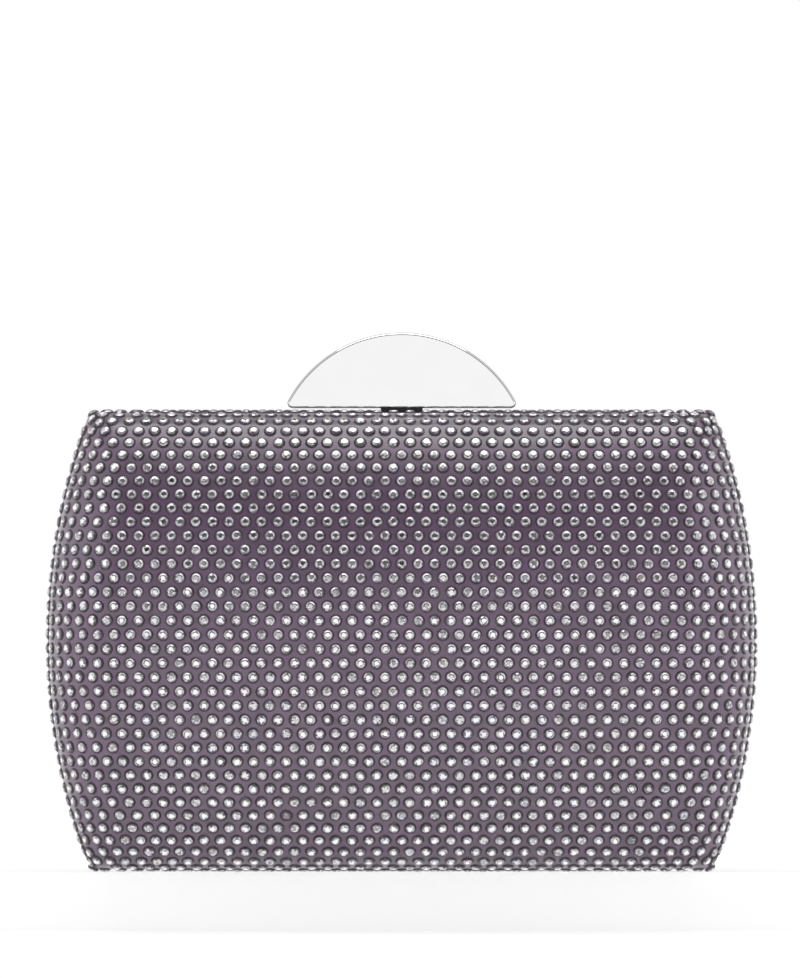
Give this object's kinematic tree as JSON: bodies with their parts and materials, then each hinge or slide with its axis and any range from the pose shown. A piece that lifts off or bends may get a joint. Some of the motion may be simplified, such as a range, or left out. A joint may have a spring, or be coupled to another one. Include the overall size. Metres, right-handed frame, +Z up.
{
  "type": "minaudiere",
  "caption": "Hard evening clutch in two domed halves covered in crystal-set satin, hinged along the bottom, with a half-moon push clasp on top.",
  "frame": {"origin": "on the ground plane under the middle of the seam, at the middle of the clutch", "axes": "+X to the right as the clutch is looked at, +Y from the front half to the rear half, +Z up"},
  "size_m": [0.1704, 0.049, 0.1288],
  "materials": {
    "crystal_satin": "mauve satin set all over with clear flat-backed crystals",
    "shell": "moulded, matt",
    "frame_nickel": "polished nickel plate",
    "clasp_silver": "mirror polish",
    "latch_steel": "bright plated",
    "spring_steel": "tempered strip",
    "hinge_steel": "bright plated",
    "lining": "satin lining on card"
  },
  "bodies": {
    "rear": {"rear_cover": "crystal_satin", "rear_shell": "shell", "rear_frame": "frame_nickel", "rear_lining": "lining", "slip_pocket": "lining", "rear_hinge_rivets": "hinge_steel", "latch_bracket": "latch_steel", "latch_screws": "latch_steel", "latch_pin": "latch_steel", "latch_spring": "spring_steel", "latch_spring_rivet": "latch_steel", "chain_eye_left": "frame_nickel", "chain_eye_right": "frame_nickel", "rear_hinge_leaf_left": "hinge_steel", "hinge_pin_left": "hinge_steel", "rear_hinge_leaf_right": "hinge_steel", "hinge_pin_right": "hinge_steel"},
    "front": {"front_cover": "crystal_satin", "front_shell": "shell", "front_frame": "frame_nickel", "front_lining": "lining", "front_hinge_rivets": "hinge_steel", "strike_plate": "latch_steel", "strike_screws": "latch_steel", "front_hinge_leaf_left": "hinge_steel", "front_hinge_leaf_right": "hinge_steel"},
    "clasp": {"clasp_plate": "clasp_silver", "clasp_lever": "latch_steel"}
  },
  "joints": [
    {"name": "front_hinge", "type": "hinge", "parent": "rear", "child": "front", "pos_m": [0, 0, 0.0019], "axis": [1, 0, 0], "range_deg": [0, 65]},
    {"name": "clasp_push", "type": "hinge", "parent": "rear", "child": "clasp", "pos_m": [0, 0.0032, 0.1005], "axis": [-1, 0, 0], "range_deg": [0, 10], "stiffness_Nm_per_rad": 0.3, "springref_deg": -5.73, "deforming": ["latch_spring"]}
  ]
}
